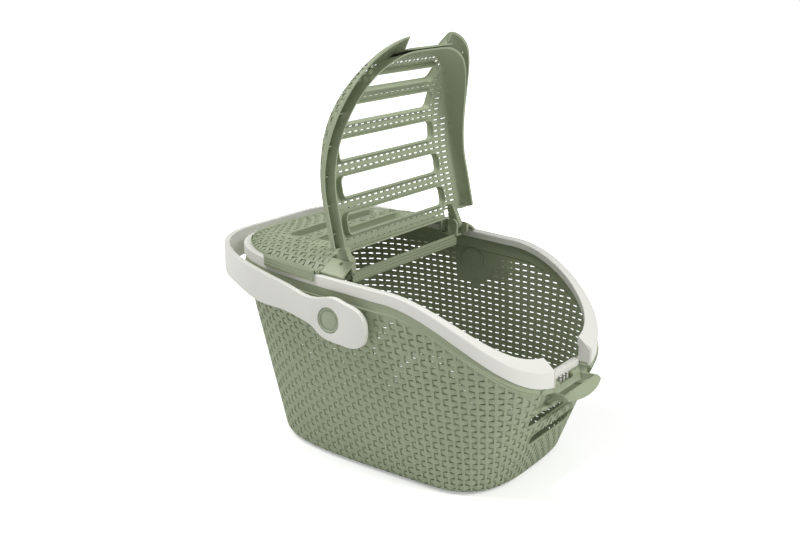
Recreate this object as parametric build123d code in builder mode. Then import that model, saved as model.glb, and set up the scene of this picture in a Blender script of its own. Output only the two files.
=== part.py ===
from build123d import *

import os
from collections import namedtuple
from math import cos, hypot, radians, sin

os.makedirs("parts", exist_ok=True)

# A moulded pet carrier: an open tub with a rim band, a fixed rear lid, a front door that
# hinges on the lid, a carrying handle and a latch. Millimetres. The front is +X, up is +Z,
# and the origin is on the floor under the middle of the rim.

# Plan of the foot, at floor level
foot_half_width = 134.3
foot_rear = 195.1
foot_front = 195.6
foot_waist = 88.4
foot_rear_power = 3.94
foot_front_power = 3.21

# Plan that the flared wall would reach at the mouth level
mouth_level = 300.0
mouth_half_width = 182.2
mouth_rear = 260.8
mouth_front = 315.6
mouth_waist = 31.9
mouth_rear_power = 3.46
mouth_front_power = 2.86

# Plan of the rim band
rim_half_width = 175.0
rim_rear = 254.3
rim_front = 254.3
rim_waist = 13.4
rim_rear_power = 3.41
rim_front_power = 3.08
rim_front_land = 20.0
rim_side_land = 13.0

# Line of the rim, seen from the side
rim_rear_level = 297.6
rim_slope = 0.052
sweep_start = 55.3
sweep_length = 582.1
sweep_fall = 393.0

# Walls and bands
wall = 2.5
floor_wall = 3.0
foot_radius = 13.0
rim_wall = 2.3
rim_skirt = 15.5
rim_lip = 11.0
wing_lap = 1.6
border_inset = 1.2
border_side_drop = 30.0
border_front_drop = 21.0
border_wall = 3.8
border_lap = 1.5
neck_inset = 2.6
neck_wall = 2.4
seat_gap = 0.3

# Lid and door
lid_inset = 9.0
door_inset = 3.0
shell_wall = 2.4
door_foot = 6.0
door_power = 9
lid_foot = 3.0
lid_power = 6
lid_edge = -46.0
lid_ear_edge = -9.0
lid_rear_crest = 300.8
crest_points = (
    (-205, 307.5),
    (-140, 313),
    (-60, 313),
    (20, 309.5),
    (87, 305),
    (137, 298.5),
    (170, 284.5),
    (199, 260.5),
)
nose_x = 250.0
recess_centres = (-95.0, -148.0)
recess_levels = (312.0, 310.2)
recess_half_width = 100.0
recess_width = 27.0
recess_depth = 7.0
recess_radius = 9.0

# Door
hinge_x = -25.6
hinge_z = 299.8
door_open_angle = 105.0
door_side_edge = -4.5
strip_edge = -14.5
opening_first = 9.0
opening_pitch = 50.8
opening_length = 28.0
opening_count = 5
opening_margin = 57.0
opening_radius = 8.0
opening_slot_depth = 20.0
channel_width = 15.0
channel_wall = 2.0
channel_drop = 7.0
channel_rib_count = 5
channel_rib_pitch = 38.0
channel_rib_middle = 92.0
channel_rib_rise = 4.0
channel_gap = 3.0
catch_half_width = 50.0
catch_x = 235.0
catch_level = 183.0
catch_hole = 1.6
catch_hole_level = 190.0
strip_level = 300.5
arm_root = -2.0
arm_lap = 7.0
arm_level = 301.0
arm_height = 9.0

# Door hinge
pin_radius = 2.6
pin_clearance = 0.05
pin_chamfer = 0.4
knuckle_radius = 9.0
knuckle_inner = 131.0
knuckle_outer = 140.4
bearing_gap = 0.5
skirt_gap = 0.3
inner_ear = 4.5
outer_ear = 5.5
ear_radius = 8.0
strip_half_width = 122.5
beam_x = -20.5
beam_top = 284.4
beam_bottom = 267.8
beam_wall = 2.6
beam_depth = 12.0
beam_rib = 1.2
beam_half = 130.0
beam_rib_levels = (271.5, 276.0, 280.5)
bearing_outer = knuckle_outer + bearing_gap + outer_ear
ear_inner = knuckle_inner - bearing_gap - inner_ear

# Handle
pivot_x = -14.0
pivot_z = 234.0
handle_inner = 184.5
handle_wall = 8.0
handle_rear = 266.0
handle_corner = 120.0
handle_rear_half = 260.0
stud_radius = 13.5
stud_clearance = 0.06
cap_radius = 17.8
cap_wall = 2.0
cap_clearance = 0.35
cap_sink = 0.8
cap_edge = 0.8
cap_spigot = 5.0
cap_spigot_length = 4.0
boss_radius = 20.0
boss_root = 167.5
spigot_radius = 7.0
spigot_root = 174.0

# Side outline of the handle, from the crossbar's top round the paddle to its foot
handle_points = (
    (-275, 301),
    (-200, 295),
    (-157, 287),
    (-117, 277),
    (-80, 268),
    (-55, 260.8),
    (-30, 261.8),
    (-6, 266),
    (12, 261.5),
    (32, 255.5),
    (44.5, 243),
    (47, 226),
    (42, 210),
    (28, 203),
    (6, 203.7),
    (-14, 205.8),
    (-31, 212),
    (-42, 220.5),
    (-62, 227.3),
    (-91, 234),
    (-137, 238),
    (-178, 252),
    (-225, 259),
    (-275, 262),
)

# Latch
latch_x = 241.2
latch_z = 141.0
latch_pin_radius = 2.2
latch_pin_hold = 8.5
latch_half_width = 49.0
latch_reach = 24.5
latch_wall = 2.6
latch_top = 144.5
latch_bottom = 136.0
lip_reach = 12.5
lip_end_reach = 5.0
lip_fall = 7.5
lip_wall = 2.4
cheek_radius = 4.2
cheek_gap = 0.5
cheek_wall = 4.0
housing_half_width = 40.0
housing_top = 151.0
housing_bottom = 136.5
housing_front = 245.2
window_half_width = 19.0
window_floor = 143.5
tooth_pitch = 9.5
tooth_width = 3.5
tooth_count = 3
tooth_depth = 3.0
tooth_gap = 0.4
tooth_top = 154.0
tooth_bottom = 145.0
pocket_half_width = 78.0
pocket_top = 155.0
pocket_bottom = 127.0
pocket_back = 236.5
notch_half_width = 50.0
notch_front = 236.0
notch_rear = 225.0
notch_top = 160.0
notch_bottom = 151.5

# Vents in the front wall, as level, height and half width
vent_levels = (110.5, 74.5)
vent_height = 20.0
vent_half_widths = (81.0, 62.0)
vent_radius = 9.0
vent_frame = 3.0
vent_frame_rise = 2.2

# Side clips on the rear lid
clip_rear = -148.0
clip_front = -51.0
clip_axis_inset = 3.9
clip_axis_rise = 3.4
clip_wall = 2.4
clip_drop = 9.5
clip_pip_radius = 1.4
clip_barrel_radius = 2.2
clip_lug = 2.6
clip_end_gap = 0.4
clip_lug_radius = 2.6
clip_lug_reach = 6.5
clip_bridge = 9.0
clip_bridge_rise = -0.2

# Rear tongue of the lid, over the rim
tongue_half_width = 21.0
tongue_end = -252.0
tongue_wall = 2.0

Plan = namedtuple("Plan", "half_width rear front waist rear_power front_power")

foot = Plan(
    foot_half_width, foot_rear, foot_front, foot_waist, foot_rear_power, foot_front_power
)
mouth = Plan(
    mouth_half_width, mouth_rear, mouth_front, mouth_waist, mouth_rear_power, mouth_front_power
)
rim = Plan(rim_half_width, rim_rear, rim_front, rim_waist, rim_rear_power, rim_front_power)
rim_inner = Plan(
    rim_half_width - rim_side_land,
    rim_rear - rim_side_land,
    rim_front - rim_front_land,
    rim_waist,
    rim_rear_power,
    rim_front_power,
)

far = 60.0
block_rear = -mouth_rear - far
block_front = mouth_front + far / 2
block_half = mouth_half_width + far
block_top = mouth_level + 2 * far


def plan_at(level):
    """Plan of the flared wall at a level, between the foot and the mouth."""
    share = level / mouth_level
    return Plan(*(low + (high - low) * share for low, high in zip(foot, mouth)))


def plan_width(plan, x):
    """Half width of a plan at a station along the carrier."""
    if x < plan.waist:
        run, power = plan.waist + plan.rear, plan.rear_power
    else:
        run, power = plan.front - plan.waist, plan.front_power
    reach = min(abs(x - plan.waist) / run, 1)
    return plan.half_width * (1 - reach**power) ** (1 / power)


def plan_face(plan, inset, level):
    """Closed plan outline, four quarter curves, moved inwards by the inset."""
    steps = 6
    with BuildSketch(Plane.XY.offset(level)) as sketch:
        with BuildLine():
            for end, power in ((-plan.rear, plan.rear_power), (plan.front, plan.front_power)):
                way = 1 if end > 0 else -1
                run = abs(end - plan.waist) - inset
                for side in (1, -1):
                    points = []
                    for step in range(steps):
                        turn = radians(90 * step / steps)
                        along = way * run * sin(turn) ** (2 / power)
                        across = side * (plan.half_width - inset) * cos(turn) ** (2 / power)
                        points.append((plan.waist + along, across))
                    points.append((plan.waist + way * run, 0))
                    Spline(*points, tangents=((way, 0), (0, -side)))
        make_face()
    return sketch.sketch


def rim_level(x):
    """Height of the rim line at a station."""
    level = rim_rear_level - rim_slope * (min(x, sweep_start) + rim_rear)
    share = max(x - sweep_start, 0) / sweep_length
    return level - sweep_fall * share * share * (3 - 2 * share)


def below_line(x, drop, front_drop):
    """Point of the rim line at a station, moved square to the line, down by the drop."""
    fall = rim_level(x + 1) - rim_level(x - 1)
    size = hypot(2, fall)
    share = min(max((x - sweep_start) / (rim_front - sweep_start), 0), 1)
    down = drop + (front_drop - drop) * share
    return (x + down * fall / size, rim_level(x) - down * 2 / size)


def below_rim(drop, front_drop=None):
    """Everything below the rim line moved down by the drop."""
    if front_drop is None:
        front_drop = drop
    steps = 6
    stations = [sweep_start + (block_front - sweep_start) * n / steps for n in range(steps + 1)]
    sweep = [below_line(x, drop, front_drop) for x in stations]
    rear = below_line(block_rear, drop, front_drop)
    with BuildPart() as block:
        with BuildSketch(Plane.XZ):
            with BuildLine():
                line = Spline(*sweep)
                Polyline(line @ 1, (block_front, -far), (block_rear, -far), rear, line @ 0)
            make_face()
        extrude(amount=block_half, both=True)
    return block.part


def box_between(x, y, z):
    """A plain block between two stations, two sides and two levels."""
    size = (x[1] - x[0], y[1] - y[0], z[1] - z[0])
    middle = ((x[0] + x[1]) / 2, (y[0] + y[1]) / 2, (z[0] + z[1]) / 2)
    return Pos(*middle) * Box(*size, mode=Mode.PRIVATE)


def flared_solid(inset, bottom):
    """Solid inside the flared wall, from a level up to the mouth."""
    with BuildPart() as solid:
        add(plan_face(plan_at(bottom), inset, bottom))
        add(plan_face(mouth, inset, mouth_level))
        loft(ruled=True)
    return solid.part


def plan_prism(plan, inset, bottom=0.0):
    """Upright prism of a plan."""
    with BuildPart() as solid:
        add(plan_face(plan, inset, bottom))
        extrude(amount=block_top - bottom)
    return solid.part


def rim_ring(outer, outer_inset, inner, inner_inset, upper, lower, front_lower=None):
    """A ring between two plans and two lines below the rim line."""
    with BuildPart() as ring:
        add(plan_prism(outer, outer_inset, far / 2))
        add(plan_prism(inner, inner_inset, far / 2), mode=Mode.SUBTRACT)
        add(below_rim(upper), mode=Mode.INTERSECT)
        add(below_rim(lower, front_lower), mode=Mode.SUBTRACT)
    return ring.part


def crest_curve(drop):
    """Side outline of the lid and door, from the rear rim to the nose."""
    points = [(-rim_rear + lid_inset, lid_rear_crest - drop)]
    points += [(x, z - drop) for x, z in crest_points]
    points.append((nose_x - drop, rim_level(nose_x) + door_foot - drop))
    return Spline(*points)


with BuildLine(mode=Mode.PRIVATE) as crest_line:
    crest_curve(0)
crest = crest_line.edges()[0]


def crest_level(x):
    """Height of the crest at a station."""
    low, high = 0.0, 1.0
    for _ in range(24):
        middle = (low + high) / 2
        if (crest @ middle).X < x:
            low = middle
        else:
            high = middle
    return (crest @ low).Y


def under_dome(inset, drop, foot_rise, power):
    """Everything under the domed skin of the lid or door."""
    narrow = 60.0
    across = [-1.06, -1, -0.94, -0.86, -0.76, -0.6, -0.3, 0, 0.3, 0.6, 0.76, 0.86, 0.94, 1, 1.06]
    rows = []
    count = 22
    first = -rim_rear + lid_inset / 2
    last = nose_x + 1
    for step in range(count + 1):
        x = first + (last - first) * step / count
        width = max(plan_width(rim, x) - inset, narrow)
        edge = rim_level(x) + foot_rise
        rise = max(crest_level(min(max(x, 1 - rim_rear + lid_inset), nose_x)) - edge, 0)
        row = []
        for share in across:
            level = edge + rise * (1 - abs(share) ** power) - drop
            row.append((x, share * width, level))
        rows.append(row)
    skin = Face.make_surface_from_array_of_points(rows, tol=0.05, max_deg=3)
    return Solid.extrude(skin, Vector(0, 0, -4 * far))


def domed_block(inset, drop, rear, front, foot_rise, power):
    """Solid block under the domed skin, standing just above the rim line."""
    with BuildPart() as block:
        add(plan_prism(rim, inset, far))
        add(
            box_between((rear, front), (-block_half, block_half), (0, block_top)),
            mode=Mode.INTERSECT,
        )
        add(under_dome(inset, drop, foot_rise, power), mode=Mode.INTERSECT)
        add(below_rim(-seat_gap), mode=Mode.SUBTRACT)
    return block.part


def both_sides(shape):
    """A shape and its mirror image on the other side of the carrier."""
    return shape + mirror(shape, about=Plane.XZ)


# Tub: flared wall, upright border, latch pocket with its housing, vents and pivot bosses


def vent_prism(level, half_width, margin):
    """Slot through the front wall, with round corners."""
    with BuildPart() as slot:
        with BuildSketch(Plane.YZ.offset(pocket_back - far)):
            with Locations((0, level)):
                RectangleRounded(
                    2 * (half_width + margin), vent_height + 2 * margin, vent_radius + margin
                )
        extrude(amount=2 * far)
    return slot.part


def cross_rod(x, z, radius, y_range):
    """Round bar along Y between two sides."""
    with BuildPart() as rod:
        with BuildSketch(Plane.XZ.offset(-y_range[0])):
            with Locations((x, z)):
                Circle(radius)
        extrude(amount=y_range[0] - y_range[1])
    return rod.part


def tub_wall(inset, floor, radius, side_drop, front_drop):
    """Flared body with a rounded foot, kept inside the rim plan and below a line."""
    with BuildPart() as body:
        add(flared_solid(inset, floor))
        fillet(body.edges().group_by(Axis.Z)[0], radius)
        add(plan_prism(rim, inset), mode=Mode.INTERSECT)
        add(below_rim(side_drop, front_drop), mode=Mode.INTERSECT)
    return body.part


pocket = box_between(
    (pocket_back, block_front),
    (-pocket_half_width, pocket_half_width),
    (pocket_bottom, pocket_top),
)
pocket_lining = box_between(
    (pocket_back - wall, block_front),
    (-pocket_half_width - wall, pocket_half_width + wall),
    (pocket_bottom - wall, pocket_top + wall),
)
notch = box_between(
    (notch_rear, block_front),
    (-notch_half_width - rim_wall - seat_gap, notch_half_width + rim_wall + seat_gap),
    (notch_bottom - seat_gap, block_top),
)
border = rim_ring(
    rim,
    border_inset,
    rim,
    border_inset + border_wall,
    rim_skirt + seat_gap,
    border_side_drop + border_lap,
    border_front_drop + border_lap,
)
neck = rim_ring(
    rim, neck_inset, rim, neck_inset + neck_wall, rim_wall + seat_gap, rim_skirt + 2 * border_lap
)
void = tub_wall(
    wall,
    floor_wall,
    foot_radius - wall,
    border_side_drop + border_lap,
    border_front_drop + border_lap,
)
upper_void = plan_prism(rim, border_inset + border_wall, far) - below_rim(
    border_side_drop + 2 * border_lap, border_front_drop + 2 * border_lap
)

with BuildPart() as tub:
    add(tub_wall(0, 0, foot_radius, border_side_drop, border_front_drop))
    for level, half_width in zip(vent_levels, vent_half_widths):
        raised = vent_prism(level, half_width, vent_frame) & flared_solid(-vent_frame_rise, 0)
        add(raised)
    add(void - pocket_lining, mode=Mode.SUBTRACT)
    add(upper_void - pocket_lining, mode=Mode.SUBTRACT)
    add(border)
    add(neck)
    add(pocket, mode=Mode.SUBTRACT)
    add(notch, mode=Mode.SUBTRACT)
    # Neck of the pocket wall, inside the lowered strip of the rim
    add(
        box_between(
            (notch_front - rim_wall - seat_gap - neck_wall, notch_front - rim_wall - seat_gap),
            (-notch_half_width, notch_half_width),
            (notch_bottom - 3 * border_lap, notch_top - rim_wall - seat_gap),
        )
    )
    add(
        box_between(
            (pocket_back - wall - neck_wall, pocket_back),
            (-notch_half_width, notch_half_width),
            (notch_bottom - 3 * border_lap, notch_bottom - seat_gap),
        )
    )
    for level, half_width in zip(vent_levels, vent_half_widths):
        add(vent_prism(level, half_width, 0), mode=Mode.SUBTRACT)
    # Latch housing, open at the middle for the teeth above it
    add(
        box_between(
            (pocket_back - wall, housing_front),
            (-housing_half_width, housing_half_width),
            (housing_bottom, housing_top),
        )
    )
    add(
        box_between(
            (pocket_back, housing_front - wall),
            (-window_half_width, window_half_width),
            (window_floor, block_top),
        ),
        mode=Mode.SUBTRACT,
    )
    latch_bore = cross_rod(
        latch_x,
        latch_z,
        latch_pin_radius + pin_clearance,
        (housing_half_width - latch_pin_hold, housing_half_width + seat_gap),
    )
    add(both_sides(latch_bore), mode=Mode.SUBTRACT)
    # Bosses that carry the handle studs
    boss = cross_rod(pivot_x, pivot_z, boss_radius, (boss_root, handle_inner - seat_gap))
    socket = cross_rod(
        pivot_x,
        pivot_z,
        spigot_radius + pin_clearance,
        (spigot_root, handle_inner),
    )
    add(both_sides(boss))
    add(both_sides(socket), mode=Mode.SUBTRACT)
tub.part.label = "tub"
export_step(tub.part, "parts/tub.step")


# Rim band: a channel over the tub's border, lowered at the front for the latch

strip_space = box_between(
    (notch_rear, block_front),
    (-notch_half_width, notch_half_width),
    (notch_bottom - far, block_top),
)
wing_wall = box_between(
    (rim_inner.front - wing_lap, block_front),
    (notch_half_width, notch_half_width + rim_wall),
    (notch_bottom, block_top),
)

with BuildPart() as rim_band:
    add(rim_ring(rim, 0, rim_inner, 0, 0, rim_skirt))
    add(
        rim_ring(rim, rim_wall, rim_inner, -rim_wall, rim_wall, 2 * rim_skirt),
        mode=Mode.SUBTRACT,
    )
    add(
        plan_prism(rim_inner, -rim_wall - border_lap) & below_rim(rim_lip),
        mode=Mode.SUBTRACT,
    )
    add(strip_space, mode=Mode.SUBTRACT)
    add(both_sides(wing_wall & plan_prism(rim, 0) & below_rim(0)))
    # Lowered strip that carries the teeth
    add(
        box_between(
            (notch_rear, notch_front),
            (-notch_half_width - rim_wall, notch_half_width + rim_wall),
            (notch_bottom, notch_top),
        )
    )
    add(
        box_between(
            (notch_rear + rim_wall, notch_front - rim_wall),
            (-notch_half_width, notch_half_width),
            (notch_bottom - rim_wall, notch_top - rim_wall),
        ),
        mode=Mode.SUBTRACT,
    )
    tooth = box_between(
        (pocket_back + tooth_gap, pocket_back + tooth_gap + tooth_depth),
        (-tooth_width / 2, tooth_width / 2),
        (tooth_bottom, tooth_top),
    )
    tooth_root = box_between(
        (notch_front - rim_wall / 2, pocket_back + tooth_gap + tooth_depth),
        (-tooth_width / 2, tooth_width / 2),
        (notch_bottom, tooth_top),
    )
    for place in GridLocations(0, tooth_pitch, 1, tooth_count):
        add(place * (tooth + tooth_root))
rim_band.part.label = "rim_band"
export_step(rim_band.part, "parts/rim_band.step")

# Rear lid: domed shell, hinge beam with its ears, two recesses, tongue and clip lugs

lid_block = domed_block(lid_inset, 0, block_rear, lid_ear_edge, lid_foot, lid_power)
lid_hollow = domed_block(
    lid_inset + shell_wall, shell_wall, block_rear, block_front, lid_foot, lid_power
)


def clip_plane(x):
    """Plane square to the side clip's axis, with its origin on the axis, at a station."""
    ends = [
        Vector(
            station,
            plan_width(rim, station) - clip_axis_inset,
            rim_level(station) + clip_axis_rise,
        )
        for station in (clip_rear, clip_front)
    ]
    along = (ends[1] - ends[0]).normalized()
    start = ends[0] + along * ((x - clip_rear) / along.X)
    return Plane(origin=start, x_dir=Vector(0, 0, 1).cross(along), z_dir=along)


def clip_rod(radius, x, length):
    """Round bar along the clip's axis, from a station."""
    with BuildPart() as rod:
        with BuildSketch(clip_plane(x)):
            Circle(radius)
        extrude(amount=length)
    return rod.part


def clip_lug_at(x):
    """Lug on the lid's side that holds one end of a clip."""
    with BuildPart() as lug:
        with BuildSketch(clip_plane(x)):
            Circle(clip_lug_radius)
            with Locations((-clip_lug_reach / 2, 0)):
                Rectangle(clip_lug_reach, 2 * clip_lug_radius)
        extrude(amount=clip_lug)
    return lug.part


with BuildPart() as rear_lid:
    add(lid_block - lid_hollow)
    gap_zone = box_between((lid_edge, 0), (-bearing_outer, bearing_outer), (0, block_top))
    add(gap_zone, mode=Mode.SUBTRACT)
    # Beam across the mouth, hung from the bearing walls around the hinge
    add(
        box_between(
            (beam_x - beam_wall, beam_x), (-beam_half, beam_half), (beam_bottom, beam_top)
        )
    )
    add(
        box_between(
            (beam_x - beam_depth, beam_x),
            (-beam_half, beam_half),
            (beam_bottom, beam_bottom + beam_wall),
        )
    )
    for level in beam_rib_levels:
        add(
            box_between(
                (beam_x - beam_wall, beam_x + beam_rib),
                (-beam_half, beam_half),
                (level, level + beam_rib),
            )
        )
    bearing_root = lid_block & box_between(
        (lid_edge - shell_wall, lid_edge), (ear_inner, bearing_outer), (0, block_top)
    )
    bearing = lid_block & box_between(
        (lid_edge - shell_wall, lid_ear_edge),
        (knuckle_outer + bearing_gap, bearing_outer),
        (0, block_top),
    )
    bearing_foot = box_between(
        (lid_edge - shell_wall, hinge_x + knuckle_radius),
        (knuckle_outer + bearing_gap, bearing_outer),
        (beam_top - beam_wall, hinge_z),
    )
    saddle = box_between(
        (lid_edge - shell_wall, hinge_x + ear_radius),
        (ear_inner, bearing_outer),
        (beam_top - beam_wall, beam_top),
    )
    ear_low = box_between(
        (hinge_x - ear_radius, hinge_x + ear_radius),
        (ear_inner, ear_inner + inner_ear),
        (beam_top - beam_wall, hinge_z),
    )
    ear = cross_rod(
        hinge_x,
        hinge_z,
        ear_radius,
        (ear_inner, ear_inner + inner_ear),
    )
    for piece in (bearing_root, bearing, bearing_foot, saddle, ear_low, ear):
        add(both_sides(piece))
    bore = cross_rod(
        hinge_x,
        hinge_z,
        pin_radius + pin_clearance,
        (knuckle_inner - 2 * inner_ear, bearing_outer + inner_ear),
    )
    add(both_sides(bore), mode=Mode.SUBTRACT)
    # Recesses across the crest
    for centre, level in zip(recess_centres, recess_levels):
        with BuildSketch(Plane.XY.offset(level - recess_depth - shell_wall)):
            with Locations((centre, 0)):
                RectangleRounded(
                    recess_width + 2 * shell_wall,
                    2 * recess_half_width + 2 * shell_wall,
                    recess_radius + shell_wall,
                )
        extrude(amount=recess_depth + shell_wall)
        with BuildSketch(Plane.XY.offset(level - recess_depth)):
            with Locations((centre, 0)):
                RectangleRounded(recess_width, 2 * recess_half_width, recess_radius)
        extrude(amount=far, mode=Mode.SUBTRACT)
    # Tongue that rests on the rim behind
    add(
        box_between(
            (tongue_end, lid_inset - rim_rear + shell_wall),
            (-tongue_half_width, tongue_half_width),
            (rim_level(-rim_rear) + seat_gap, rim_level(-rim_rear) + seat_gap + tongue_wall),
        )
    )
    lugs = clip_lug_at(clip_rear - clip_lug) + clip_lug_at(clip_front)
    lug_bore = clip_rod(
        clip_pip_radius + pin_clearance,
        clip_rear - 2 * clip_lug,
        clip_front - clip_rear + 4 * clip_lug,
    )
    add(both_sides(lugs))
    add(both_sides(lug_bore), mode=Mode.SUBTRACT)
rear_lid.part.label = "rear_lid"
export_step(rear_lid.part, "parts/rear_lid.step")

# Side clips: barrel between two lugs, bridge over the rim and ribbed grip outside it

with BuildPart() as side_clip_left:
    with BuildSketch(clip_plane(clip_rear + clip_end_gap)):
        Circle(clip_barrel_radius)
        with Locations((clip_bridge / 2, clip_bridge_rise + clip_wall / 2)):
            Rectangle(clip_bridge, clip_wall)
    extrude(amount=clip_front - clip_rear - 2 * clip_end_gap)
    add(plan_prism(rim, -seat_gap - clip_wall, far), mode=Mode.INTERSECT)
    grip = rim_ring(
        rim,
        -seat_gap - clip_wall,
        rim,
        -seat_gap,
        -clip_axis_rise - clip_bridge_rise - clip_wall,
        clip_drop,
    )
    reach_box = box_between(
        (clip_rear + clip_end_gap, clip_front - clip_end_gap), (0, block_half), (0, block_top)
    )
    add(grip & reach_box)
    pips = clip_rod(clip_pip_radius, clip_rear - clip_lug, clip_front - clip_rear + 2 * clip_lug)
    add(pips)
side_clip_left.part.label = "side_clip_left"
export_step(side_clip_left.part, "parts/side_clip_left.step")

with BuildPart() as side_clip_right:
    add(mirror(side_clip_left.part, about=Plane.XZ))
side_clip_right.part.label = "side_clip_right"
export_step(side_clip_right.part, "parts/side_clip_right.step")


# Door, drawn closed and then swung open about its hinge

door_block = domed_block(door_inset, 0, strip_edge, block_front, door_foot, door_power)
door_hollow = domed_block(
    door_inset + shell_wall, shell_wall, block_rear, block_front, door_foot, door_power
)
outside_knuckle = knuckle_outer + skirt_gap


def opening_plane(number):
    """Plane on the crest at the middle of one opening, looking out of the skin."""
    target = opening_first + opening_length / 2 + number * opening_pitch
    start = opening_first
    travelled = 0.0
    x = start
    step = 0.5
    while travelled < target - opening_first:
        travelled += hypot(step, crest_level(x + step) - crest_level(x))
        x += step
    slope = (crest_level(x + 1) - crest_level(x - 1)) / 2
    return Plane(origin=(x, 0, crest_level(x)), x_dir=(1, 0, slope), z_dir=(-slope, 0, 1))


with BuildPart() as door_closed:
    add(door_block - door_hollow)
    side_rear = box_between(
        (strip_edge, door_side_edge), (outside_knuckle, block_half), (0, block_top)
    )
    arm_slot = box_between(
        (strip_edge, arm_root),
        (strip_half_width, outside_knuckle),
        (0, block_top),
    )
    add(both_sides(side_rear), mode=Mode.SUBTRACT)
    add(both_sides(arm_slot), mode=Mode.SUBTRACT)
    strip_end = box_between(
        (strip_edge, strip_edge + shell_wall),
        (-strip_half_width, strip_half_width),
        (strip_level, block_top),
    )
    add(strip_end & door_block)
    side_end = box_between(
        (door_side_edge, door_side_edge + shell_wall),
        (outside_knuckle, block_half),
        (0, block_top),
    )
    add(both_sides(side_end & door_block))
    # Inner wall of the channel that runs round the door, hanging inside the mouth
    lip = plan_prism(rim_inner, channel_gap, far)
    lip = lip - plan_prism(rim_inner, channel_gap + channel_wall, far)
    lip = lip & box_between(
        (door_side_edge, block_front), (-block_half, block_half), (0, block_top)
    )
    lip = lip & under_dome(door_inset, shell_wall / 2, door_foot, door_power)
    add(lip - below_rim(channel_drop))
    ribs = []
    for place in GridLocations(channel_rib_pitch, 0, channel_rib_count, 1):
        ribs.append(
            place
            * box_between(
                (channel_rib_middle, channel_rib_middle + channel_wall),
                (rim_half_width - rim_side_land - far / 2, block_half),
                (0, block_top),
            )
        )
    channel = plan_prism(rim, door_inset + channel_wall / 2, far)
    channel = channel - plan_prism(rim_inner, channel_gap + channel_wall / 2, far)
    channel = channel & under_dome(door_inset, channel_wall / 2, door_foot, door_power)
    channel = channel - below_rim(-channel_rib_rise)
    for rib in ribs:
        add(both_sides(rib & channel))
    # Openings across the crest
    for number in range(opening_count):
        plane = opening_plane(number)
        half = plan_width(rim, plane.origin.X) - opening_margin
        with BuildSketch(plane):
            RectangleRounded(opening_length, 2 * half, opening_radius)
        extrude(amount=opening_slot_depth, both=True, mode=Mode.SUBTRACT)
    # Front edge over the latch
    add(
        box_between(
            (catch_x, block_front), (-catch_half_width, catch_half_width), (0, block_top)
        ),
        mode=Mode.SUBTRACT,
    )
    catch_wall = box_between(
        (catch_x - shell_wall, catch_x),
        (-catch_half_width, catch_half_width),
        (catch_level, block_top),
    )
    add(catch_wall & under_dome(door_inset, shell_wall / 2, door_foot, door_power))
    wing_end = box_between(
        (catch_x - shell_wall, block_front),
        (catch_half_width, catch_half_width + shell_wall),
        (0, block_top),
    )
    add(both_sides(wing_end & door_block))
    with BuildSketch(Plane.YZ.offset(catch_x - 2 * shell_wall)):
        with Locations((0, catch_hole_level)):
            Circle(catch_hole)
    extrude(amount=3 * shell_wall, mode=Mode.SUBTRACT)
    # Knuckle arms
    with BuildSketch(Plane.XZ.offset(-knuckle_inner)):
        with Locations((hinge_x, hinge_z)):
            Circle(knuckle_radius)
        with Locations((arm_root, arm_level)):
            Rectangle(2 * arm_lap, arm_height)
        make_hull()
    extrude(amount=knuckle_inner - knuckle_outer)
    with BuildSketch(Plane.XZ.offset(knuckle_inner)):
        with Locations((hinge_x, hinge_z)):
            Circle(knuckle_radius)
        with Locations((arm_root, arm_level)):
            Rectangle(2 * arm_lap, arm_height)
        make_hull()
    extrude(amount=knuckle_outer - knuckle_inner)
    knuckle_bore = cross_rod(
        hinge_x,
        hinge_z,
        pin_radius + pin_clearance,
        (knuckle_inner - rim_wall, knuckle_outer + rim_wall),
    )
    add(both_sides(knuckle_bore), mode=Mode.SUBTRACT)

hinge_axis = Axis((hinge_x, 0, hinge_z), (0, 1, 0))
with BuildPart() as door:
    add(door_closed.part.rotate(hinge_axis, -door_open_angle))
door.part.label = "door"
export_step(door.part, "parts/door.step")

# Hinge pins

with BuildPart() as hinge_pin_left:
    add(
        cross_rod(
            hinge_x,
            hinge_z,
            pin_radius,
            (ear_inner, bearing_outer),
        )
    )
    chamfer(hinge_pin_left.edges(), pin_chamfer)
hinge_pin_left.part.label = "hinge_pin_left"
export_step(hinge_pin_left.part, "parts/hinge_pin_left.step")

with BuildPart() as hinge_pin_right:
    add(mirror(hinge_pin_left.part, about=Plane.XZ))
hinge_pin_right.part.label = "hinge_pin_right"
export_step(hinge_pin_right.part, "parts/hinge_pin_right.step")

# Handle: a bow in plan, cut to a swept side outline with a paddle at each pivot

with BuildPart() as handle:
    with BuildSketch(Plane.XY.offset(pivot_z - far)):
        with Locations((handle_rear_half, 0)):
            RectangleRounded(
                2 * (handle_rear_half + handle_rear + handle_wall),
                2 * (handle_inner + handle_wall),
                handle_corner + handle_wall,
            )
        with Locations((handle_rear_half, 0)):
            RectangleRounded(
                2 * (handle_rear_half + handle_rear),
                2 * handle_inner,
                handle_corner,
                mode=Mode.SUBTRACT,
            )
    extrude(amount=3 * far)
    with BuildSketch(Plane.XZ):
        with BuildLine():
            outline = Spline(*handle_points)
            start, end = outline @ 0, outline @ 1
            Polyline(end, (end.X - far, end.Y), (start.X - far, start.Y), start)
        make_face()
    extrude(amount=handle_inner + 2 * handle_wall, both=True, mode=Mode.INTERSECT)
    stud_hole = cross_rod(
        pivot_x, pivot_z, stud_radius + stud_clearance, (handle_inner - far, handle_inner + far)
    )
    cap_seat = cross_rod(
        pivot_x,
        pivot_z,
        cap_radius + cap_clearance,
        (handle_inner + handle_wall - cap_sink - cap_wall - seat_gap, handle_inner + far),
    )
    add(both_sides(stud_hole), mode=Mode.SUBTRACT)
    add(both_sides(cap_seat), mode=Mode.SUBTRACT)
handle.part.label = "handle"
export_step(handle.part, "parts/handle.step")

# Studs on the tub's bosses and the caps that close them

cap_inner = handle_inner + handle_wall - cap_sink - cap_wall

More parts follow.
